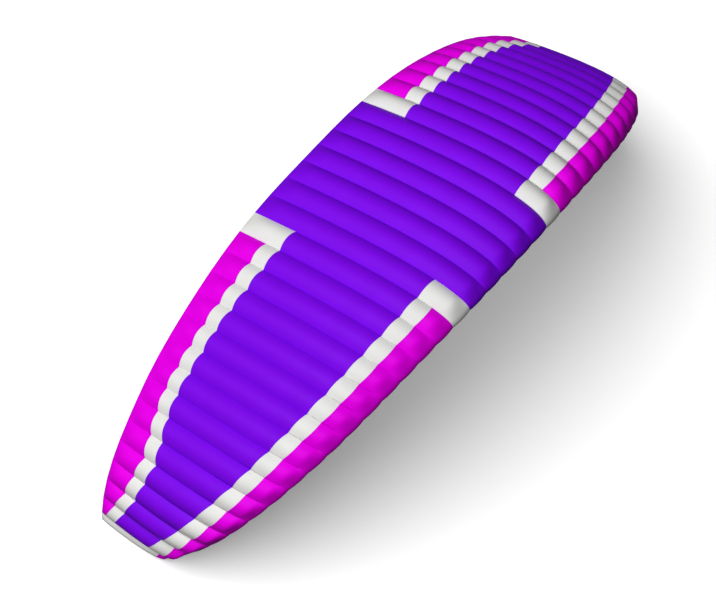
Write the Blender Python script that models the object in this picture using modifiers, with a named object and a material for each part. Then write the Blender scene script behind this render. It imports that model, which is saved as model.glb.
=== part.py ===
"""A ram-air paraglider wing: an arched canopy of 39 sewn cells that stands, nose up, on its two tips.

It is drawn in the wing's own frame, X along the span, Y from nose to tail and Z up, with the centre
cell's nose at zero. Then it is pitched nose up, until its weight is over its tips, and set down.
Left and right are as seen from in front, and ribs, cells and columns run from left to right.
"""

import math
from collections import namedtuple

import bmesh
import bpy
from mathutils import Matrix, Vector

# Driving dimensions, in metres and degrees.
FLAT_SPAN = 11.0  # along the cloth, from tip to tip
NOSE_UP_DEG = 15.0  # the pitch at which the wing stands
SHEET = 0.002  # ripstop cloth with its seams
GAP = 0.0003  # between pieces that are sewn to each other
TIP_GAP = 0.001  # between a closed tip cell and the last full one, whose noses are swept most
LIP_GAP = 0.0015  # between the nose and the under skin, where a cell has no mouth

CELLS_A_SIDE = 19  # beside the centre cell
CELL_NARROWING = 0.16  # how much narrower the outermost cell is, as a share of the centre one
TIP_CELL_SHARE = 0.47  # the closed tip cell's share of a full cell
OPEN_CELLS = 13  # the cells a side, from the centre, that have a mouth
CELLS_A_SKIN_PANEL = 3  # the cells that one panel of the under skin spans

# The plan, the arch and the aerofoil, from the centre (0) to the tip (1) along the cloth.
Station = namedtuple("Station", "along arc_deg nose_back tail_back twist_deg thickness")
STATIONS = (
    Station(0.00, 0.0, 0.000, 2.945, 0.0, 0.175),
    Station(0.20, 9.5, 0.040, 2.975, 1.0, 0.174),
    Station(0.40, 22.5, 0.200, 2.960, 0.5, 0.172),
    Station(0.60, 33.0, 0.475, 2.945, 1.5, 0.170),
    Station(0.75, 45.5, 0.815, 2.905, 2.75, 0.155),
    Station(0.88, 67.5, 1.270, 2.880, 2.5, 0.141),
    Station(1.00, 90.0, 1.900, 2.850, 0.0, 0.122),
)
ARC_STEPS = 400
TWIST_ABOUT = 0.4  # the chord share that a rib's twist turns about

# The outer ribs' noses are drawn in, back and down, so that the closing rib lies level.
DRAW_WAY = Vector((-0.49, 0.37, -0.79)).normalized()
DRAW_FROM = 0.64  # where it starts, along the cloth

# The aerofoil's thickness law: powers of the chord share and their factors.
THICKNESS_LAW = ((0.5, 0.2969), (1.0, -0.126), (2.0, -0.3516), (3.0, 0.2843), (4.0, -0.1036))
LAW_SCALE = 5.0
UNDER_SHARE = 0.62  # the under side's depth, as a share of the top's height
TAIL_SEAM = 2 * SHEET + GAP  # at the tail the two skins lie on each other

# Rows of points as chord shares: from the tail over the top to the nose, and on to the mouth's lip.
TOP_ROWS = (1.0, 0.94, 0.82, 0.65, 0.5, 0.36, 0.24, 0.14, 0.07, 0.025, 0.006, 0.0)
NOSE_ROWS = (0.004, 0.015)
UNDER_ROWS = (0.015, 0.07, 0.18, 0.36, 0.65, 0.94, 1.0)
MOUTH_BACK = 0.07  # where the mouth ends and the under skin starts
RIB_END = 0.94  # a rib stops here, and the closing ribs alone go on to the tail
BENT_SHEET = 2.6 * SHEET  # the cloth's thickness, measured slantwise at a bent and swept edge
BESIDE_CLOSING_RIB = 1.6 * SHEET + GAP  # from that rib's outside to the under skin's end
RIB_LIFT = 1.1 * SHEET + GAP  # a rib's foot stands this far above the outside of the under skin

ACROSS = 4  # faces across a cell
PUFF = 0.13  # how far a cell's top stands out between its ribs, as a share of its width
UNDER_PUFF = 0.06
PUFF_FADES_FROM = 0.72  # from here to the tail seam the cloth gets flat
PUFF_FADE_POWER = 0.75

PURPLE = (0.22, 0.01, 0.87, 1.0)
WHITE = (0.85, 0.85, 0.83, 1.0)

Rib = namedtuple("Rib", "centre nose chord across square twist thickness draw")


def smooth(name, along, odd=False):
    """A station column, read anywhere along the span by a curve without kinks.

    An odd column changes sign across the centre, as the arc's angle does, and keeps its slope there.
    """
    place = [station.along for station in STATIONS]
    value = [getattr(station, name) for station in STATIONS]
    step = [b - a for a, b in zip(place, place[1:])]
    rise = [(b - a) / d for a, b, d in zip(value, value[1:], step)]
    slope = [0.0]
    for i in range(1, len(step)):
        slope.append((rise[i - 1] * step[i] + rise[i] * step[i - 1]) / (step[i - 1] + step[i]))
    slope.append(2 * rise[-1] - slope[-1])
    if odd:
        slope[0] = 2 * rise[0] - slope[1]
    i = max(j for j in range(len(step)) if along >= place[j])
    t = (along - place[i]) / step[i]
    return (
        value[i] * (1 + 2 * t) * (1 - t) ** 2
        + slope[i] * step[i] * t * (1 - t) ** 2
        + value[i + 1] * t * t * (3 - 2 * t)
        + slope[i + 1] * step[i] * t * t * (t - 1)
    )


def seam_places():
    """How far each rib is from the centre, as a share of the way to the tip."""
    widths = [1 - CELL_NARROWING * (k / CELLS_A_SIDE) ** 2 for k in range(CELLS_A_SIDE + 1)]
    widths[0] /= 2
    widths[-1] *= TIP_CELL_SHARE
    return [sum(widths[: k + 1]) / sum(widths) for k in range(CELLS_A_SIDE + 1)]


def arch_point(along):
    """The arch's X and Z, from walking along the cloth in short steps, and its angle there."""
    step = along / ARC_STEPS
    x = z = 0.0
    for i in range(ARC_STEPS):
        angle = math.radians(smooth("arc_deg", step * (i + 0.5), odd=True))
        x += math.cos(angle) * step * FLAT_SPAN / 2
        z -= math.sin(angle) * step * FLAT_SPAN / 2
    return x, z, math.radians(smooth("arc_deg", along, odd=True))


def level_draw():
    """How far the closing rib's nose is drawn, for its chord to be level once the wing is pitched."""
    tip = STATIONS[-1]
    rise = math.tan(math.radians(NOSE_UP_DEG))
    return (tip.tail_back - tip.nose_back) * rise / (DRAW_WAY.y * rise - DRAW_WAY.z)


def make_rib(side, along):
    """A rib's plane, its aerofoil's size and how its nose is drawn. Side is -1 on the left."""
    x, z, arc = arch_point(along)
    nose = smooth("nose_back", along)
    drawn = level_draw() * max(0.0, (along - DRAW_FROM) / (1 - DRAW_FROM)) ** 2
    return Rib(
        centre=Vector((side * x, 0.0, z)),
        nose=nose,
        chord=smooth("tail_back", along) - nose,
        across=Vector((math.cos(arc), 0.0, -side * math.sin(arc))),
        square=Vector((side * math.sin(arc), 0.0, math.cos(arc))),
        twist=math.radians(smooth("twist_deg", along)),
        thickness=smooth("thickness", along),
        draw=Vector((side * DRAW_WAY.x, DRAW_WAY.y, DRAW_WAY.z)) * drawn,
    )


def make_ribs():
    places = seam_places()
    left = [make_rib(-1, along) for along in reversed(places)]
    return left + [make_rib(1, along) for along in places]


def rib_point(rib, share, height):
    """A point in a rib's plane, from its chord share and its height, also as a share of the chord."""
    back = share + height * math.sin(rib.twist)
    up = height * math.cos(rib.twist) - (share - TWIST_ABOUT) * math.sin(rib.twist)
    point = rib.centre + Vector((0.0, rib.nose + back * rib.chord, 0.0))
    return point + rib.square * up * rib.chord + rib.draw * (1 - share)


def top_height(rib, share):
    law = sum(factor * share**power for power, factor in THICKNESS_LAW)
    return LAW_SCALE * rib.thickness * law


def under_height(rib, share):
    return -UNDER_SHARE * top_height(rib, share) - share * TAIL_SEAM / rib.chord


def under_line(rib, share):
    """The under skin's height between its rows, where it is straight."""
    i = max(j for j in range(len(UNDER_ROWS) - 1) if share >= UNDER_ROWS[j])
    front, back = UNDER_ROWS[i], UNDER_ROWS[i + 1]
    t = (share - front) / (back - front)
    return under_height(rib, front) * (1 - t) + under_height(rib, back) * t


def top_outline(rib):
    """The upper outline, from the tail to the mouth's lip."""
    top = [rib_point(rib, share, top_height(rib, share)) for share in TOP_ROWS]
    return top + [rib_point(rib, share, under_height(rib, share)) for share in NOSE_ROWS]


def under_outline(rib, rows):
    return [rib_point(rib, share, under_height(rib, share)) for share in rows]


def rib_foot(rib, closing):
    """The lower outline, a point for each row of the upper one, or None where the rib isn't.

    Ahead of the under skin it is cut straight to the nose. A closing rib goes from tail to lip.
    """
    upper = top_outline(rib)
    lift = 0.0 if closing else RIB_LIFT / rib.chord
    foot = [
        rib_point(rib, share, under_line(rib, share) + lift) if closing or share <= RIB_END else None
        for share in TOP_ROWS
        if share >= MOUTH_BACK
    ]
    last = len(upper) if closing else len(upper) - 1
    ahead = last - len(foot)
    corner = foot[-1]
    foot += [corner.lerp(upper[last - 1], (i + 1) / ahead) for i in range(ahead)]
    return foot + [None] * (len(upper) - last)


def outward(outline, rib):
    """The directions square to an outline in its rib's plane, away from the inside of the wing."""
    ends = [outline[0], *outline, outline[-1]]
    return [(b - a).cross(rib.across).normalized() for a, b in zip(ends, ends[2:])]


def fullness(share):
    """How much of its puff a cell has at a chord share."""
    return min(1.0, (1 - share) / (1 - PUFF_FADES_FROM)) ** PUFF_FADE_POWER


def edge_share(rib, span, way, keep, lean):
    """How far into a cell a piece starts, as a share of the span, to keep that far from a rib.

    Its thickness goes inwards, which on a swept nose is also towards the rib. Lean is the slope of
    its puff there, and keep is 0.0 for a piece that is sewn in one with the rib.
    """
    if not keep:
        return 0.0
    plane = (rib_point(rib, 1.0, 0.0) - rib_point(rib, 0.0, 0.0)).cross(rib.square).normalized()
    plane *= math.copysign(1.0, plane.dot(span))
    outside = way.cross(plane).cross(span + way * span.length * lean).normalized()
    outside *= math.copysign(1.0, outside.dot(way))
    return (keep + BENT_SHEET * max(0.0, outside.dot(plane))) / span.dot(plane)


def columns_between(ribs, outlines, rows, puff, count, keep):
    """Columns of points from one rib to the next: straight across, and puffed out between them."""
    ways = [outward(outline, rib) for outline, rib in zip(outlines, ribs)]
    columns = [[] for _ in range(count + 1)]
    for row, share in enumerate(rows):
        span = outlines[1][row] - outlines[0][row]
        lean = 4 * puff * fullness(share)
        start = edge_share(ribs[0], span, ways[0][row], keep[0], lean)
        end = 1 - edge_share(ribs[1], -span, ways[1][row], keep[1], lean)
        for i, column in enumerate(columns):
            t = start + (end - start) * i / count
            way = ways[0][row].lerp(ways[1][row], t).normalized()
            column.append(outlines[0][row] + span * t + way * span.length * lean * t * (1 - t))
    return columns


def sheet_mesh(name, columns):
    """Cloth through columns of points: a grid that is bent to them, without those that are None."""
    bm = bmesh.new()
    last_column = len(columns) - 1
    last_row = len(columns[0]) - 1
    bmesh.ops.create_grid(bm, x_segments=last_column, y_segments=last_row, size=1.0)
    spare = []
    for vert in bm.verts:
        column = round((vert.co.x + 1) / 2 * last_column)
        row = round((vert.co.y + 1) / 2 * last_row)
        point = columns[column][row]
        if point is None:
            spare.append(vert)
        else:
            vert.co = point
    bmesh.ops.delete(bm, geom=spare, context="VERTS")
    bmesh.ops.remove_doubles(bm, verts=bm.verts, dist=1e-6)
    bmesh.ops.reverse_faces(bm, faces=bm.faces)
    mesh = bpy.data.meshes.new(name)
    bm.to_mesh(mesh)
    bm.free()
    mesh.shade_smooth()
    return mesh


def cell_name(cell):
    number = cell - CELLS_A_SIDE
    if number == 0:
        return "cell_centre"
    return f"cell_{'right' if number > 0 else 'left'}_{abs(number):02d}"


def make_cell(ribs, cell):
    """The panel over one cell, sewn in one with its outer rib, or at the centre with both."""
    left, right = ribs[cell], ribs[cell + 1]
    has_left = cell <= CELLS_A_SIDE
    has_right = cell >= CELLS_A_SIDE
    rows = TOP_ROWS + (0.0,) * len(NOSE_ROWS)
    outlines = (top_outline(left), top_outline(right))
    gap = TIP_GAP if cell in (0, 2 * CELLS_A_SIDE) else GAP
    keep = (0.0 if has_left else gap, 0.0 if has_right else gap)
    columns = columns_between((left, right), outlines, rows, PUFF, ACROSS, keep)
    if has_left:
        columns.insert(0, rib_foot(left, closing=cell == 0))
    if has_right:
        columns.append(rib_foot(right, closing=cell == 2 * CELLS_A_SIDE))
    return sheet_mesh(cell_name(cell), columns)


def skin_panels():
    """The first and last cell of each panel of the under skin."""
    middle = CELLS_A_SIDE - CELLS_A_SKIN_PANEL // 2
    first = middle % CELLS_A_SKIN_PANEL
    starts = range(first, 2 * CELLS_A_SIDE + 1, CELLS_A_SKIN_PANEL)
    return [(start, start + CELLS_A_SKIN_PANEL - 1) for start in starts]


def make_skin_panel(ribs, number, first, last):
    """A panel under some cells. It starts behind their mouths, or else at their noses' lips."""
    has_mouths = abs(first + 1 - CELLS_A_SIDE) <= OPEN_CELLS
    rows = UNDER_ROWS[1:] if has_mouths else UNDER_ROWS
    columns = []
    for cell in range(first, last + 1):
        pair = ribs[cell : cell + 2]
        outlines = []
        for rib in pair:
            lip = () if has_mouths else (UNDER_ROWS[0] + LIP_GAP / rib.chord,)
            outlines.append(under_outline(rib, lip + UNDER_ROWS[1:]))
        keep = [GAP if cell == first else 0.0, 0.0]
        if cell == 0:
            keep[0] = BESIDE_CLOSING_RIB
        if cell == 2 * CELLS_A_SIDE:
            keep[1] = BESIDE_CLOSING_RIB
        columns += columns_between(pair, outlines, rows, UNDER_PUFF, 2, keep)[cell > first :]
    return sheet_mesh(f"under_skin_{number:02d}", columns)


def cloth(name, colour):
    material = bpy.data.materials.new(name)
    material.use_nodes = True
    shader = material.node_tree.nodes["Principled BSDF"]
    shader.inputs["Base Color"].default_value = colour
    shader.inputs["Roughness"].default_value = 0.45
    shader.inputs["Metallic"].default_value = 0.0
    return material


def add_piece(collection, mesh, colour):
    """A cut piece: its cloth gets its thickness inwards, so that its outside keeps its place."""
    piece = bpy.data.objects.new(mesh.name, mesh)
    mesh.materials.append(cloth(f"{mesh.name}_cloth", colour))
    thickness = piece.modifiers.new("thickness", "SOLIDIFY")
    thickness.thickness = SHEET
    thickness.offset = -1.0
    thickness.use_even_offset = True
    collection.objects.link(piece)
    return piece


def set_down(pieces):
    """Pitches the wing nose up, then puts the middle of its plan and its feet at the origin."""
    pitch = Matrix.Rotation(-math.radians(NOSE_UP_DEG), 4, "X")
    for piece in pieces:
        piece.data.transform(pitch)
    backs = [vert.co.y for piece in pieces for vert in piece.data.vertices]
    lowest = min(vert.co.z for piece in pieces for vert in piece.data.vertices)
    place = Matrix.Translation((0.0, -(min(backs) + max(backs)) / 2, -lowest))
    for piece in pieces:
        piece.data.transform(place)


def main():
    for old in list(bpy.data.objects):
        bpy.data.objects.remove(old, do_unlink=True)
    collection = bpy.data.collections.new("paraglider_wing")
    bpy.context.scene.collection.children.link(collection)
    ribs = make_ribs()
    pieces = []
    for cell in range(2 * CELLS_A_SIDE + 1):
        colour = WHITE if cell in (0, 2 * CELLS_A_SIDE) else PURPLE
        pieces.append(add_piece(collection, make_cell(ribs, cell), colour))
    for number, (first, last) in enumerate(skin_panels(), start=1):
        pieces.append(add_piece(collection, make_skin_panel(ribs, number, first, last), WHITE))
    set_down(pieces)


main()
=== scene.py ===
"""The looks of a ram-air paraglider wing that stands, nose up, on its two tips.

Every piece is coated ripstop cloth: a panel over each cell, sewn in one with its rib, and the
panels of the under skin. Lengths are in metres. The wing is drawn in its own frame, X along the
span, Y from nose to tail and Z up, and then pitched and set down. Ribs and cells run from left to
right.
"""

import math
from collections import namedtuple

import bmesh
import bpy
from mathutils import Matrix, Vector


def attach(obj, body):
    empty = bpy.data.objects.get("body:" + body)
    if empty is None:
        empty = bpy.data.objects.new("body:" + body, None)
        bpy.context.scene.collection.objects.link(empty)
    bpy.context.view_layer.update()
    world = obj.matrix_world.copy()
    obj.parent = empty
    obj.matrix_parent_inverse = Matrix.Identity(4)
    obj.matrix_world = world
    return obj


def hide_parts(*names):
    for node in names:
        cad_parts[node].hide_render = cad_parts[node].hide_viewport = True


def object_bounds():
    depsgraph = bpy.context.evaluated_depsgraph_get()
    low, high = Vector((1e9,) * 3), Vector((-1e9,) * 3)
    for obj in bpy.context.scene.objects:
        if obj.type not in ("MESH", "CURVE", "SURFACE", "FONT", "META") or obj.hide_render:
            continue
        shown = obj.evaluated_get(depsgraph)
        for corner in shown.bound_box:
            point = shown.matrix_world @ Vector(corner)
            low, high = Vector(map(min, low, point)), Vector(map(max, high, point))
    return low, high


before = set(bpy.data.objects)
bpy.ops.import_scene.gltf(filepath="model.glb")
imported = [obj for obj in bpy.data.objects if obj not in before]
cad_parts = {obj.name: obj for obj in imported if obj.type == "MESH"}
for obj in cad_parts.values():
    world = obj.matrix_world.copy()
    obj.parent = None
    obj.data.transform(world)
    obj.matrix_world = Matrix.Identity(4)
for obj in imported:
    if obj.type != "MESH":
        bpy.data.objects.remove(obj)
cad_low, cad_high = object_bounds()

# The wing's shape. It is the solids' own, apart from how the tops are puffed and bowed.
FLAT_SPAN = 11.0  # along the cloth, from tip to tip
NOSE_UP_DEG = 15.0
CELLS_A_SIDE = 19  # without the centre cell
LAST_CELL = 2 * CELLS_A_SIDE
CELL_NARROWING = 0.16  # how much narrower the cells get on the way out
TIP_CELL_SHARE = 0.47  # the closing cell is about half a cell
OPEN_CELLS = 13  # on each side, beside the centre cell
CELLS_A_SKIN_PANEL = 3

# The wing at some places between its centre, 0, and a tip, 1: how far the arch has turned, where
# the nose and the tail are, how far the nose is turned up and how thick the aerofoil is.
Station = namedtuple("Station", "along arc_deg nose_back tail_back twist_deg thickness")
STATIONS = (
    Station(0.00, 0.0, 0.000, 2.945, 0.0, 0.175),
    Station(0.20, 9.5, 0.040, 2.975, 1.0, 0.174),
    Station(0.40, 22.5, 0.200, 2.960, 0.5, 0.172),
    Station(0.60, 33.0, 0.475, 2.945, 1.5, 0.170),
    Station(0.75, 45.5, 0.815, 2.905, 2.75, 0.155),
    Station(0.88, 67.5, 1.270, 2.880, 2.5, 0.141),
    Station(1.00, 90.0, 1.900, 2.850, 0.0, 0.122),
)
ARC_STEPS = 400
DRAW_WAY = Vector((-0.49, 0.37, -0.79)).normalized()  # of the tips' noses: in, back and down
DRAW_FROM = 0.64  # of the way to the tip

# A rib. Its places are chord shares, from 0 at the nose to 1 at the tail. The aerofoil's height is
# a sum of powers of the share, each with its factor.
TWIST_ABOUT = 0.4
THICKNESS_LAW = ((0.5, 0.2969), (1.0, -0.126), (2.0, -0.3516), (3.0, 0.2843), (4.0, -0.1036))
LAW_SCALE = 5.0
UNDER_SHARE = 0.62  # the under side's height, as a share of the top's
TAIL_SEAM = 0.0043  # how far apart the top and the under side are at the tail
LIP = 0.015  # the mouth's upper edge, on the under side
MOUTH_BACK = 0.07
RIB_END = 0.94

# How far the cloth stands out between two ribs, as a share of the cell's width.
PUFF = 0.21
UNDER_PUFF = 0.06
PUFF_FADES_FROM = 0.92  # from here to the tail seam the cloth gets flat
PUFF_FADE_POWER = 0.65
PUFF_AT_NOSE = 0.18  # what the round nose has of the puff
PUFF_FULL_FROM = 0.06

# The cloth.
CLOTH = 0.0012  # with its coating and seam allowances
GAP = 0.0003  # between a panel and the neighbour that it is sewn to
LIP_GAP = 0.0015  # from the nose's lip to the under skin
RIB_LIFT = 0.0025  # from the under skin's outside to a rib's foot
BESIDE_CLOSING_RIB = 0.0024  # from that rib's outside to the under skin's end
TURNED_DOWN = 0.008  # a panel's seam allowance, down along its rib
SEAM_WIDTH = 0.012  # a felled seam between two colours
SEAM_RISE = 0.0008
HEM = 0.016

# The colour bands' borders as chord shares, at some ribs counted from the centre.
Border = namedtuple("Border", "rib nose_front nose_back tail_front tail_back")
BORDERS = (
    Border(0, 0.094, 0.166, 0.780, 0.856),
    Border(4, 0.095, 0.169, 0.784, 0.860),
    Border(8, 0.105, 0.184, 0.801, 0.873),
    Border(11, 0.119, 0.202, 0.787, 0.868),
    Border(12, 0.120, 0.210, 0.767, 0.850),
    Border(13, 0.123, 0.216, 0.724, 0.818),
    Border(14, 0.126, 0.228, 0.682, 0.782),
    Border(16, 0.135, 0.263, 0.687, 0.800),
    Border(17, 0.142, 0.294, 0.725, 0.855),
    Border(18, 0.150, 0.336, 0.791, 0.936),
    Border(19, 0.155, 0.380, 0.850, 0.968),
)
NOSE_BOW = 0.023  # how far the nose band's border is bowed towards the nose in a cell's middle
NOSE_BLOCK = 3  # the cell on each side with a white block at the nose, where the nose band ends
TAIL_BLOCK = 4

# How finely the cloth is divided.
BAND_ROWS = (8, 5, 26, 6, 18)  # from the tail: band, stripe, field, stripe and nose band
LIP_ROWS = 5
ACROSS = 18
RIB_DOWN = 3
SKIN_ROWS = 36
SKIN_ACROSS = 10
SAME_PLACE = 1e-6  # corners closer than this are merged
SHARP_DEG = 50.0  # an edge turned by more than this isn't shaded round

# Patterns. The real ripstop grid is 5 mm and the real stitches are 3 mm: both are too fine to show
# on a wing of 9 m, so they are drawn coarser.
RIPSTOP_PITCH = 0.03
RIPSTOP_LINE = 0.003
RIPSTOP_SOFTNESS = 0.6
RIPSTOP_SHADE = 0.93  # of the cloth's colour
STITCH_SHADE = 0.75
STITCH_IN = 0.009  # from the seam
STITCH_WIDTH = 0.003
STITCH_PITCH = 0.024
STITCH_SHARE = 0.6  # of the pitch that is thread
THREAD_RISE = 0.0006
THREAD_STRENGTH = 0.3
PUCKER_SCALE = (3.0, 22.0, 1.0)  # folds a metre across and along the cell
PUCKER_DETAIL = 1.0
PUCKER_REACH = 0.09  # from a seam
PUCKER_BEYOND = 0.15  # what is left of the folds past their reach
PUCKER_DEPTH = 0.004
PUCKER_STRENGTH = 0.35
MOTTLE_SCALE = 2.2  # patches a metre
MOTTLE_DETAIL = 3.0
MOTTLE_NOISE = (0.3, 0.7)  # the noise that is taken up
MOTTLE_SHADES = (0.96, 1.03)  # and the shades that it gives
COATING_IOR = 1.5
COATING_ROUGHNESS = 0.5
COATING_GLOSS = 0.06  # a thin coat that has sunk into the threads reflects little

# The view and the light.
CAMERA_AZIMUTH = -72.8
CAMERA_ELEVATION = 59.4
CAMERA_ROLL = 23.53  # the wing's upright leans to the right in the view
CAMERA_DISTANCE = 100.0
LOOK_AT = Vector((-0.740, -0.067, 1.771))
SENSOR_MM = 36.0
CAMERA_LENS_MM = 420.7
KEY_AZIMUTH = -120.0
KEY_ELEVATION = 56.0
KEY_STRENGTH = 3.3
KEY_SOFTNESS_DEG = 60.0
FILL_FROM_ABOVE = 0.03
FILL_FROM_BELOW = 0.12
FILL_BLEND = 0.3  # how far from level they meet, as a sine
BACKDROP = 1.0  # as bright as the floor
WHITE = (1.0, 1.0, 1.0, 1.0)
FLOOR_HALF_SIDE = 600.0
FLOOR_ROUGHNESS = 0.9
FLOOR_GLOW = 0.2  # it is lit from below, which keeps the shadow pale
FLOOR_GAP = 0.0005

Rib = namedtuple("Rib", "number centre nose chord across square twist thickness draw")
Spot = namedtuple("Spot", "point across along rib_seam cross_seam")


def smooth(name, along, odd=False):
    """A station column, read anywhere along the span by a curve without kinks.

    An odd column changes sign across the centre, as the arc's angle does, and keeps its slope there.
    """
    place = [station.along for station in STATIONS]
    value = [getattr(station, name) for station in STATIONS]
    step = [b - a for a, b in zip(place, place[1:])]
    rise = [(b - a) / d for a, b, d in zip(value, value[1:], step)]
    slope = [0.0]
    for i in range(1, len(step)):
        slope.append((rise[i - 1] * step[i] + rise[i] * step[i - 1]) / (step[i - 1] + step[i]))
    slope.append(2 * rise[-1] - slope[-1])
    if odd:
        slope[0] = 2 * rise[0] - slope[1]
    i = max(j for j in range(len(step)) if along >= place[j])
    t = (along - place[i]) / step[i]
    return (
        value[i] * (1 + 2 * t) * (1 - t) ** 2
        + slope[i] * step[i] * t * (1 - t) ** 2
        + value[i + 1] * t * t * (3 - 2 * t)
        + slope[i + 1] * step[i] * t * t * (t - 1)
    )


def seam_places():
    """How far each rib is from the centre, as a share of the way to the tip."""
    widths = [1 - CELL_NARROWING * (k / CELLS_A_SIDE) ** 2 for k in range(CELLS_A_SIDE + 1)]
    widths[0] /= 2
    widths[-1] *= TIP_CELL_SHARE
    return [sum(widths[: k + 1]) / sum(widths) for k in range(CELLS_A_SIDE + 1)]


def arch_point(along):
    """The arch's X and Z, from walking along the cloth in short steps, and its angle there."""
    step = along / ARC_STEPS
    x = z = 0.0
    for i in range(ARC_STEPS):
        angle = math.radians(smooth("arc_deg", step * (i + 0.5), odd=True))
        x += math.cos(angle) * step * FLAT_SPAN / 2
        z -= math.sin(angle) * step * FLAT_SPAN / 2
    return x, z, math.radians(smooth("arc_deg", along, odd=True))


def level_draw():
    """How far the closing rib's nose is drawn, so that the pitched wing has its chord level."""
    tip = STATIONS[-1]
    rise = math.tan(math.radians(NOSE_UP_DEG))
    return (tip.tail_back - tip.nose_back) * rise / (DRAW_WAY.y * rise - DRAW_WAY.z)


def make_rib(side, number, along):
    """A rib's plane, its aerofoil's size and how its nose is drawn. Side is -1 on the left."""
    x, z, arc = arch_point(along)
    nose = smooth("nose_back", along)
    drawn = level_draw() * max(0.0, (along - DRAW_FROM) / (1 - DRAW_FROM)) ** 2
    return Rib(
        number=number,
        centre=Vector((side * x, 0.0, z)),
        nose=nose,
        chord=smooth("tail_back", along) - nose,
        across=Vector((math.cos(arc), 0.0, -side * math.sin(arc))),
        square=Vector((side * math.sin(arc), 0.0, math.cos(arc))),
        twist=math.radians(smooth("twist_deg", along)),
        thickness=smooth("thickness", along),
        draw=Vector((side * DRAW_WAY.x, DRAW_WAY.y, DRAW_WAY.z)) * drawn,
    )


def make_ribs():
    """Every rib, from the left tip to the right one."""
    places = list(enumerate(seam_places()))
    left = [make_rib(-1, number, along) for number, along in reversed(places)]
    return left + [make_rib(1, number, along) for number, along in places]


def rib_point(rib, share, height):
    """A point in a rib's plane. Its place and height are shares of the chord."""
    back = share + height * math.sin(rib.twist)
    up = height * math.cos(rib.twist) - (share - TWIST_ABOUT) * math.sin(rib.twist)
    point = rib.centre + Vector((0.0, rib.nose + back * rib.chord, 0.0))
    return point + rib.square * up * rib.chord + rib.draw * (1 - share)


def top_height(rib, share):
    """The top's height over the chord line, as a share of the chord."""
    law = sum(factor * share**power for power, factor in THICKNESS_LAW)
    return LAW_SCALE * rib.thickness * law


def under_height(rib, share):
    """The under side's height, which is below the chord line and so less than 0."""
    return -UNDER_SHARE * top_height(rib, share) - share * TAIL_SEAM / rib.chord


def skin_point(rib, place):
    """A point on the wing's outside at a rib: on top at a place from 0, and below it under 0."""
    height = top_height(rib, place) if place >= 0 else under_height(rib, -place)
    return rib_point(rib, abs(place), height)


def foot_point(rib, place, closing):
    """A point on a rib's lower edge, below a place on the top, or None where the rib isn't.

    Ahead of the under skin it is cut straight to the nose. A closing rib goes from tail to lip.
    """
    lift = 0.0 if closing else RIB_LIFT / rib.chord
    if place >= MOUTH_BACK:
        ends = place > RIB_END and not closing
        return None if ends else rib_point(rib, place, under_height(rib, place) + lift)
    front = -LIP if closing else 0.0
    if place < front:
        return None
    corner = rib_point(rib, MOUTH_BACK, under_height(rib, MOUTH_BACK) + lift)
    return corner.lerp(skin_point(rib, front), (MOUTH_BACK - place) / (MOUTH_BACK - front))


def outward(outline, rib):
    """The directions square to an outline in its rib's plane, away from the inside of the wing."""
    ends = [outline[0], *outline, outline[-1]]
    return [(b - a).cross(rib.across).normalized() for a, b in zip(ends, ends[2:])]


def fullness(share):
    """How much of its puff a cell has at a chord share. The nose and the tail hold it in."""
    t = min(1.0, share / PUFF_FULL_FROM)
    nose = PUFF_AT_NOSE + (1 - PUFF_AT_NOSE) * t * t * (3 - 2 * t)
    return nose * min(1.0, (1 - share) / (1 - PUFF_FADES_FROM)) ** PUFF_FADE_POWER


def lengths_along(outline):
    """How far each point of an outline is from its start, along the cloth."""
    lengths = [0.0]
    for a, b in zip(outline, outline[1:]):
        lengths.append(lengths[-1] + (b - a).length)
    return lengths


def border_shares(rib):
    """The chord shares of the colour borders at a rib, from the tail to the nose."""
    after = next(i for i in range(1, len(BORDERS)) if rib.number <= BORDERS[i].rib)
    a, b = BORDERS[after - 1], BORDERS[after]
    t = (rib.number - a.rib) / (b.rib - a.rib)
    nose_front, nose_back, tail_front, tail_back = (p + (q - p) * t for p, q in zip(a[1:], b[1:]))
    return (1.0, tail_back, tail_front, nose_back, nose_front, 0.0)


def band_cloths(cell):
    """The cloth of each band of a cell, from the tail to the nose."""
    number = abs(cell - CELLS_A_SIDE)
    if number == CELLS_A_SIDE:
        return ("white", "white", "white", "white", "magenta")
    tail = ("magenta", "white")
    if number == TAIL_BLOCK:
        tail = ("white", "white")
    if number < TAIL_BLOCK:
        tail = ("purple", "purple")
    nose = ("white", "magenta")
    if number == NOSE_BLOCK:
        nose = ("white", "white")
    if number < NOSE_BLOCK:
        nose = ("purple", "purple")
    return (*tail, "purple", *nose)


def band_rows(rib):
    """Places of a panel's rows at one rib, from the tail over the top to the lip of the nose."""
    borders = border_shares(rib)
    half_seam = SEAM_WIDTH / 2 / rib.chord
    places = [1.0, 1.0 - HEM / rib.chord]
    last = len(BAND_ROWS) - 1
    for band, rows in enumerate(BAND_ROWS):
        start = places[-1]
        end = borders[band + 1] + (half_seam if band < last else 0.0)
        power = 1 if band < last else 2  # the rows get closer towards the round nose
        for i in range(1, rows + 1):
            places.append(end + (start - end) * (1 - i / rows) ** power)
        if band < last:
            places += [borders[band + 1], borders[band + 1] - half_seam]
    return places + [-LIP * (i / LIP_ROWS) ** 2 for i in range(1, LIP_ROWS + 1)]


def row_cloths(cell):
    """The cloth of each row of faces, in step with the rows' places, and the rows that are seams.

    The coloured cloth is lapped over the white one.
    """
    bands = band_cloths(cell)
    cloths = [bands[0]]
    ridges = []
    for band, rows in enumerate(BAND_ROWS):
        cloths += [bands[band]] * rows
        if band < len(bands) - 1:
            over = bands[band + 1] if bands[band] == "white" else bands[band]
            cloths += [over, over]
            if bands[band] != bands[band + 1]:
                ridges.append(len(cloths) - 1)
    return cloths + [bands[-1]] * LIP_ROWS, ridges


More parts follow.
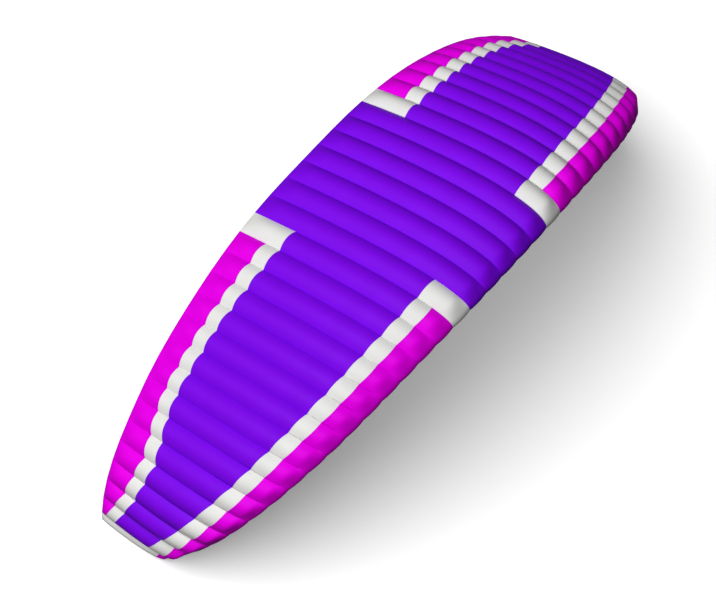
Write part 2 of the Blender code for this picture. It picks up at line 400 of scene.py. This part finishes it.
def seam_distances(rib, places, ridges):
    """How far each row is from the nearest seam or hem that runs across the cell."""
    lines = [places[0], places[-1], *(places[row] for row in ridges)]
    return [min(abs(place - line) for line in lines) * rib.chord for place in places]


def nose_bow(rib, place):
    """How far a row is bowed to the nose in a cell's middle: most at the nose band's border."""
    nose_back, nose_front = border_shares(rib)[3:5]
    if place > nose_front:
        return NOSE_BOW * max(0.0, (nose_back - place) / (nose_back - nose_front))
    return NOSE_BOW * max(0.0, place / nose_front)


def puffed_columns(pair, outlines, shares, puff, count, gaps, cross_seams, ridges=(), bows=()):
    """Columns of spots from one rib to the next, puffed out between them."""
    ways = [outward(outline, rib) for outline, rib in zip(outlines, pair)]
    lengths = [lengths_along(outline) for outline in outlines]
    columns = [[] for _ in range(count + 1)]
    for row, share in enumerate(shares):
        span = outlines[1][row] - outlines[0][row]
        full = 4 * puff * fullness(share)
        start, end = gaps[0] / span.length, 1 - gaps[1] / span.length
        for i, column in enumerate(columns):
            t = start + (end - start) * i / count
            way = ways[0][row].lerp(ways[1][row], t).normalized()
            rise = span.length * full * t * (1 - t)
            if row in ridges:
                rise += SEAM_RISE
            point = outlines[0][row] + span * t + way * rise
            if bows:
                point += span.cross(way).normalized() * (bows[row] * 4 * t * (1 - t))
            column.append(
                Spot(
                    point,
                    span.length * (t - 0.5),
                    lengths[0][row] * (1 - t) + lengths[1][row] * t,
                    span.length * min(t, 1 - t),
                    cross_seams[0][row] * (1 - t) + cross_seams[1][row] * t,
                )
            )
    return columns


def rib_columns(rib, places, closing, seam):
    """Columns of spots over a rib, from its foot up to where its panel is turned down on it."""
    columns = [[] for _ in range(RIB_DOWN + 1)]
    for place, top in zip(places, seam):
        foot = foot_point(rib, place, closing)
        for i, column in enumerate(columns):
            if foot is None:
                column.append(None)
                continue
            way_down = foot - top.point
            turned = min(TURNED_DOWN / max(way_down.length, TURNED_DOWN), 0.5 / RIB_DOWN)
            drop = way_down * (1 - i / RIB_DOWN if i < RIB_DOWN else turned)
            down = drop.length
            across = top.across + math.copysign(down, top.across)
            column.append(Spot(top.point + drop, across, top.along, down, down))
    return columns


def set_down(ribs):
    """Pitches the wing nose up, with its rearmost tail and its feet where the solids have them."""
    pitch = Matrix.Rotation(-math.radians(NOSE_UP_DEG), 4, "X")
    back = max((pitch @ skin_point(rib, 1.0)).y for rib in ribs)
    closing = ribs[0]
    foot = pitch @ rib_point(closing, 1.0, under_height(closing, 1.0))
    return Matrix.Translation((0.0, cad_high.y - back, cad_low.z - foot.z)) @ pitch


def cloth_mesh(name, columns, faces_cloths, rib_spans, cloths, placed):
    """A grid that is bent to columns of spots, without those that are None, and its area."""
    bm = bmesh.new()
    last_column = len(columns) - 1
    last_row = len(columns[0]) - 1
    bmesh.ops.create_grid(bm, x_segments=last_column, y_segments=last_row, size=1.0)
    place_of = {}
    for vert in bm.verts:
        column = round((vert.co.x + 1) / 2 * last_column)
        row = round((vert.co.y + 1) / 2 * last_row)
        place_of[vert] = (column, row)
    used_cloths = sorted({*faces_cloths, "rib"} if rib_spans else {*faces_cloths})
    weave = bm.loops.layers.uv.new("weave")
    seams = bm.loops.layers.uv.new("seams")
    for face in bm.faces:
        column = min(place_of[vert][0] for vert in face.verts)
        row = min(place_of[vert][1] for vert in face.verts)
        cloth = "rib" if column in rib_spans else faces_cloths[row]
        face.material_index = used_cloths.index(cloth)
        face.smooth = True
        for loop in face.loops:
            spot = columns[place_of[loop.vert][0]][place_of[loop.vert][1]]
            if spot:
                loop[weave].uv = (spot.across, spot.along)
                loop[seams].uv = (spot.rib_seam, spot.cross_seam)
    spare = [vert for vert, (column, row) in place_of.items() if columns[column][row] is None]
    for vert, (column, row) in place_of.items():
        if columns[column][row]:
            vert.co = placed @ columns[column][row].point
    bmesh.ops.delete(bm, geom=spare, context="VERTS")
    bmesh.ops.remove_doubles(bm, verts=bm.verts, dist=SAME_PLACE)
    bmesh.ops.reverse_faces(bm, faces=bm.faces)
    for edge in bm.edges:
        turn = edge.calc_face_angle(math.pi)  # half a turn at the cloth's rim, which stays sharp
        edge.smooth = turn < math.radians(SHARP_DEG)
    area = sum(face.calc_area() for face in bm.faces)
    mesh = bpy.data.meshes.new(name)
    bm.to_mesh(mesh)
    bm.free()
    for used in used_cloths:
        mesh.materials.append(cloths[used])
    return mesh, area


def sheet_piece(node, columns, faces_cloths, rib_spans, cloths, placed):
    """Cloth that stands for a solid. Its thickness goes inwards."""
    mesh, area = cloth_mesh(f"{node}_cloth", columns, faces_cloths, rib_spans, cloths, placed)
    piece = bpy.data.objects.new(mesh.name, mesh)
    bpy.context.scene.collection.objects.link(piece)
    thickness = piece.modifiers.new("thickness", "SOLIDIFY")
    thickness.thickness = CLOTH
    thickness.offset = -1.0
    thickness.use_even_offset = True
    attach(piece, "root")
    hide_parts(node)
    cut_size(columns)


def cut_size(columns):
    """The width and length of the rectangle that a piece is cut from."""
    return tuple(
        max(lengths_along([spot.point for spot in line if spot])[-1] for line in lines)
        for lines in (zip(*columns), columns)
    )


def make_cell(ribs, cell, cloths, placed):
    """A cell's panel with the rib on its outer side, or with both of them in the centre cell."""
    pair = ribs[cell : cell + 2]
    number = cell - CELLS_A_SIDE
    side = "right" if number > 0 else "left"
    node = f"cell_{side}_{abs(number):02d}" if number else "cell_centre"
    faces, ridges = row_cloths(cell)
    places = [band_rows(rib) for rib in pair]
    outlines = [[skin_point(rib, p) for p in row] for rib, row in zip(pair, places)]
    shares = [(abs(a) + abs(b)) / 2 for a, b in zip(*places)]
    cross_seams = [seam_distances(rib, row, ridges) for rib, row in zip(pair, places)]
    own = (number <= 0, number >= 0)
    gaps = [0.0 if has_rib else GAP for has_rib in own]
    bows = [nose_bow(pair[0], place) for place in places[0]]
    columns = puffed_columns(pair, outlines, shares, PUFF, ACROSS, gaps, cross_seams, ridges, bows)
    spans = set()
    if own[0]:
        columns = rib_columns(pair[0], places[0], cell == 0, columns[0]) + columns
        spans |= set(range(RIB_DOWN))
    if own[1]:
        columns += reversed(rib_columns(pair[1], places[1], cell == LAST_CELL, columns[-1]))
        spans |= set(range(len(columns) - 1 - RIB_DOWN, len(columns) - 1))
    sheet_piece(node, columns, faces, spans, cloths, placed)


def skin_panels():
    """The first and last cell of each panel of the under skin."""
    middle = CELLS_A_SIDE - CELLS_A_SKIN_PANEL // 2
    starts = range(middle % CELLS_A_SKIN_PANEL, LAST_CELL + 1, CELLS_A_SKIN_PANEL)
    return [(start, start + CELLS_A_SKIN_PANEL - 1) for start in starts]


def make_skin_panel(ribs, number, first, last, cloths, placed):
    """A panel under some cells. It starts behind their mouths, or else at their noses' lips."""
    has_mouths = abs(first + 1 - CELLS_A_SIDE) <= OPEN_CELLS
    columns = []
    for cell in range(first, last + 1):
        pair = ribs[cell : cell + 2]
        places = []
        for rib in pair:
            front = MOUTH_BACK if has_mouths else LIP + LIP_GAP / rib.chord
            hem = HEM / rib.chord
            between = 1 - front - 2 * hem
            inner = [front + hem + between * i / SKIN_ROWS for i in range(SKIN_ROWS + 1)]
            places.append([front, *inner, 1.0])
        outlines = [
            [rib_point(rib, p, under_height(rib, p)) for p in row]
            for rib, row in zip(pair, places)
        ]
        cross_seams = [seam_distances(rib, row, ()) for rib, row in zip(pair, places)]
        gaps = [GAP if cell == first else 0.0, 0.0]
        if cell == 0:
            gaps[0] = BESIDE_CLOSING_RIB
        if cell == LAST_CELL:
            gaps[1] = BESIDE_CLOSING_RIB
        added = puffed_columns(
            pair, outlines, places[0], UNDER_PUFF, SKIN_ACROSS, gaps, cross_seams
        )
        columns += added if cell == first else added[1:]
    rows = ["underside"] * (len(columns[0]) - 1)
    node = f"under_skin_{number:02d}"
    sheet_piece(node, columns, rows, (), cloths, placed)


def linear(hex_colour):
    """An sRGB hex colour as the linear one that shaders take."""
    channels = [int(hex_colour[i : i + 2], 16) / 255 for i in (1, 3, 5)]
    return (*(c / 12.92 if c <= 0.04045 else ((c + 0.055) / 1.055) ** 2.4 for c in channels), 1.0)


def add(tree, kind, inputs=(), **settings):
    """Adds a node with its settings. Inputs are pairs of a socket and its value or its source."""
    node = tree.nodes.new(kind)
    for name, value in settings.items():
        setattr(node, name, value)
    for socket, value in inputs:
        if isinstance(value, bpy.types.NodeSocket):
            tree.links.new(value, node.inputs[socket])
        else:
            node.inputs[socket].default_value = value
    return node


def scaled(colour, factor):
    return (*(channel * factor for channel in colour[:3]), 1.0)


def seam_stitches(tree, weave, nearest):
    """A dashed row of thread on each side of a seam: 1 on the thread and 0 beside it."""
    row = add(
        tree,
        "ShaderNodeMath",
        [(0, nearest), (1, STITCH_IN), (2, STITCH_WIDTH / 2)],
        operation="COMPARE",
    ).outputs[0]
    place = add(tree, "ShaderNodeSeparateXYZ", [("Vector", weave)])
    slantwise = add(
        tree,
        "ShaderNodeMath",
        [(0, place.outputs["X"]), (1, place.outputs["Y"])],
        operation="ADD",
    ).outputs[0]
    pitches = add(
        tree, "ShaderNodeMath", [(0, slantwise), (1, 1 / STITCH_PITCH)], operation="MULTIPLY"
    ).outputs[0]
    pitch_share = add(tree, "ShaderNodeMath", [(0, pitches)], operation="FRACT").outputs[0]
    thread = add(
        tree, "ShaderNodeMath", [(0, pitch_share), (1, STITCH_SHARE)], operation="LESS_THAN"
    ).outputs[0]
    return add(tree, "ShaderNodeMath", [(0, row), (1, thread)], operation="MULTIPLY").outputs[0]


def dyed_colour(tree, colour, weave, grid, stitch):
    """The dye, a little uneven, and darker on the thick threads and the stitches."""
    mottle = add(
        tree,
        "ShaderNodeTexNoise",
        [("Vector", weave), ("Scale", MOTTLE_SCALE), ("Detail", MOTTLE_DETAIL)],
    ).outputs["Fac"]
    tone = add(
        tree,
        "ShaderNodeMapRange",
        [
            ("Value", mottle),
            ("From Min", MOTTLE_NOISE[0]),
            ("From Max", MOTTLE_NOISE[1]),
            ("To Min", MOTTLE_SHADES[0]),
            ("To Max", MOTTLE_SHADES[1]),
        ],
    ).outputs["Result"]
    woven = add(
        tree,
        "ShaderNodeMix",
        [("Factor", grid), (6, colour), (7, scaled(colour, RIPSTOP_SHADE))],
        data_type="RGBA",
    ).outputs[2]
    toned = add(
        tree, "ShaderNodeVectorMath", [(0, woven), ("Scale", tone)], operation="SCALE"
    ).outputs[0]
    return add(
        tree,
        "ShaderNodeMix",
        [("Factor", stitch), (6, toned), (7, scaled(colour, STITCH_SHADE))],
        data_type="RGBA",
    ).outputs[2]


def puckered_relief(tree, weave, nearest, grid, stitch):
    """Small folds that run out from the seams, with the threads standing up on them."""
    stretched = add(
        tree, "ShaderNodeVectorMath", [(0, weave), (1, PUCKER_SCALE)], operation="MULTIPLY"
    ).outputs[0]
    pucker = add(
        tree,
        "ShaderNodeTexNoise",
        [("Vector", stretched), ("Scale", 1.0), ("Detail", PUCKER_DETAIL)],
    ).outputs["Fac"]
    fade = add(
        tree,
        "ShaderNodeMapRange",
        [
            ("Value", nearest),
            ("From Max", PUCKER_REACH),
            ("To Min", 1.0),
            ("To Max", PUCKER_BEYOND),
        ],
    ).outputs["Result"]
    folds = add(tree, "ShaderNodeMath", [(0, pucker), (1, fade)], operation="MULTIPLY").outputs[0]
    folded = add(
        tree,
        "ShaderNodeBump",
        [("Strength", PUCKER_STRENGTH), ("Distance", PUCKER_DEPTH), ("Height", folds)],
    ).outputs["Normal"]
    threads = add(tree, "ShaderNodeMath", [(0, grid), (1, stitch)], operation="ADD").outputs[0]
    return add(
        tree,
        "ShaderNodeBump",
        [
            ("Strength", THREAD_STRENGTH),
            ("Distance", THREAD_RISE),
            ("Height", threads),
            ("Normal", folded),
        ],
    ).outputs["Normal"]


def coated_ripstop(name, hex_colour):
    """Nylon ripstop with a coating: a satin film over a grid of thicker threads.

    The eye gets a soft sheen with no sharp highlight, a faint grid, slight differences of shade,
    small puckers that run out from the seams, and a row of stitches on each side of a seam.
    """
    material = bpy.data.materials.new(name)
    material.use_nodes = True
    tree = material.node_tree
    shader = tree.nodes["Principled BSDF"]
    weave = add(tree, "ShaderNodeUVMap", uv_map="weave").outputs["UV"]
    seams = add(tree, "ShaderNodeUVMap", uv_map="seams").outputs["UV"]
    apart = add(tree, "ShaderNodeSeparateXYZ", [("Vector", seams)])
    nearest = add(
        tree,
        "ShaderNodeMath",
        [(0, apart.outputs["X"]), (1, apart.outputs["Y"])],
        operation="MINIMUM",
    ).outputs[0]
    grid = add(
        tree,
        "ShaderNodeTexBrick",
        [
            ("Vector", weave),
            ("Scale", 1.0),
            ("Mortar Size", RIPSTOP_LINE),
            ("Mortar Smooth", RIPSTOP_SOFTNESS),
            ("Brick Width", RIPSTOP_PITCH),
            ("Row Height", RIPSTOP_PITCH),
        ],
        offset=0.0,
    ).outputs["Fac"]
    stitch = seam_stitches(tree, weave, nearest)
    colour = dyed_colour(tree, linear(hex_colour), weave, grid, stitch)
    relief = puckered_relief(tree, weave, nearest, grid, stitch)
    tree.links.new(colour, shader.inputs["Base Color"])
    tree.links.new(relief, shader.inputs["Normal"])
    shader.inputs["IOR"].default_value = COATING_IOR
    shader.inputs["Roughness"].default_value = COATING_ROUGHNESS
    shader.inputs["Specular IOR Level"].default_value = COATING_GLOSS
    return material


def make_cloths():
    """The dyed cloths of the top, and the paler plain ones of the ribs and the under skin."""
    return {
        "magenta": coated_ripstop("magenta_ripstop", "#d500d5"),
        "white": coated_ripstop("white_ripstop", "#d5d5d3"),
        "purple": coated_ripstop("purple_ripstop", "#7a10d4"),
        "rib": coated_ripstop("rib_ripstop", "#d4d4d0"),
        "underside": coated_ripstop("underside_ripstop", "#d8d8d4"),
    }


def direction(azimuth, elevation):
    """The way from the wing to something at an azimuth and elevation. Azimuth 0 is in front."""
    a, e = math.radians(azimuth), math.radians(elevation)
    return Vector((math.sin(a) * math.cos(e), -math.cos(a) * math.cos(e), math.sin(e)))


def add_camera():
    """A long lens, high up on the wing's left and a little in front of it."""
    back = direction(CAMERA_AZIMUTH, CAMERA_ELEVATION)
    azimuth = math.radians(CAMERA_AZIMUTH)
    right = Vector((math.cos(azimuth), math.sin(azimuth), 0.0))
    up = back.cross(right)
    turned = Matrix.Rotation(math.radians(CAMERA_ROLL), 3, back)
    axes = Matrix((turned @ right, turned @ up, back)).transposed()
    camera = bpy.data.objects.new("camera", bpy.data.cameras.new("camera"))
    camera.data.lens = CAMERA_LENS_MM
    camera.data.sensor_width = SENSOR_MM
    camera.data.clip_end = 10 * CAMERA_DISTANCE
    camera.matrix_world = Matrix.Translation(LOOK_AT + back * CAMERA_DISTANCE) @ axes.to_4x4()
    bpy.context.scene.collection.objects.link(camera)
    bpy.context.scene.camera = camera


def backlit_floor():
    """Matt opal sheet, lit from below: an even pale white, on which a shadow stays pale too."""
    material = bpy.data.materials.new("backlit_opal_sheet")
    material.use_nodes = True
    shader = material.node_tree.nodes["Principled BSDF"]
    shader.inputs["Base Color"].default_value = linear("#f8f8f8")
    shader.inputs["Roughness"].default_value = FLOOR_ROUGHNESS
    shader.inputs["Specular IOR Level"].default_value = 0.0
    shader.inputs["Emission Color"].default_value = WHITE
    shader.inputs["Emission Strength"].default_value = FLOOR_GLOW
    return material


def add_floor():
    """A plain pale floor. The wing gets no light from it and doesn't reflect it."""
    bm = bmesh.new()
    bmesh.ops.create_grid(bm, x_segments=1, y_segments=1, size=FLOOR_HALF_SIDE)
    mesh = bpy.data.meshes.new("floor")
    bm.to_mesh(mesh)
    bm.free()
    mesh.materials.append(backlit_floor())
    floor = bpy.data.objects.new("floor", mesh)
    floor.location.z = -FLOOR_GAP
    floor.visible_diffuse = False
    floor.visible_glossy = False
    bpy.context.scene.collection.objects.link(floor)


def add_key_light():
    """One wide, soft light from high up on the wing's left, a little behind it."""
    key = bpy.data.objects.new("key", bpy.data.lights.new("key", "SUN"))
    key.data.energy = KEY_STRENGTH
    key.data.angle = math.radians(KEY_SOFTNESS_DEG)
    key.rotation_mode = "QUATERNION"
    key.rotation_quaternion = direction(KEY_AZIMUTH, KEY_ELEVATION).to_track_quat("Z", "Y")
    bpy.context.scene.collection.objects.link(key)


def add_surround():
    """A weak fill, mostly from below, and a pale backdrop that only the camera sees."""
    world = bpy.data.worlds.new("surround")
    world.use_nodes = True
    tree = world.node_tree
    way = add(tree, "ShaderNodeTexCoord").outputs["Generated"]
    up = add(tree, "ShaderNodeSeparateXYZ", [("Vector", way)]).outputs["Z"]
    fill = add(
        tree,
        "ShaderNodeMapRange",
        [
            ("Value", up),
            ("From Min", -FILL_BLEND),
            ("From Max", FILL_BLEND),
            ("To Min", FILL_FROM_BELOW),
            ("To Max", FILL_FROM_ABOVE),
        ],
    ).outputs["Result"]
    seen = add(tree, "ShaderNodeLightPath").outputs["Is Camera Ray"]
    strength = add(
        tree, "ShaderNodeMix", [("Factor", seen), ("A", fill), ("B", BACKDROP)]
    ).outputs[0]
    background = tree.nodes["Background"]
    background.inputs["Color"].default_value = WHITE
    tree.links.new(strength, background.inputs["Strength"])
    bpy.context.scene.world = world


def set_contrast():
    """Bright dyes stay bright, and the shaded sides of the cells get deep."""
    bpy.context.scene.view_settings.view_transform = "Standard"
    bpy.context.scene.view_settings.look = "Medium High Contrast"


def make_wing():
    """Every cell and every panel of the under skin, from left to right."""
    ribs = make_ribs()
    placed = set_down(ribs)
    cloths = make_cloths()
    for cell in range(LAST_CELL + 1):
        make_cell(ribs, cell, cloths, placed)
    for number, (first, last) in enumerate(skin_panels(), start=1):
        make_skin_panel(ribs, number, first, last, cloths, placed)


make_wing()
add_camera()
add_floor()
add_key_light()
add_surround()
set_contrast()
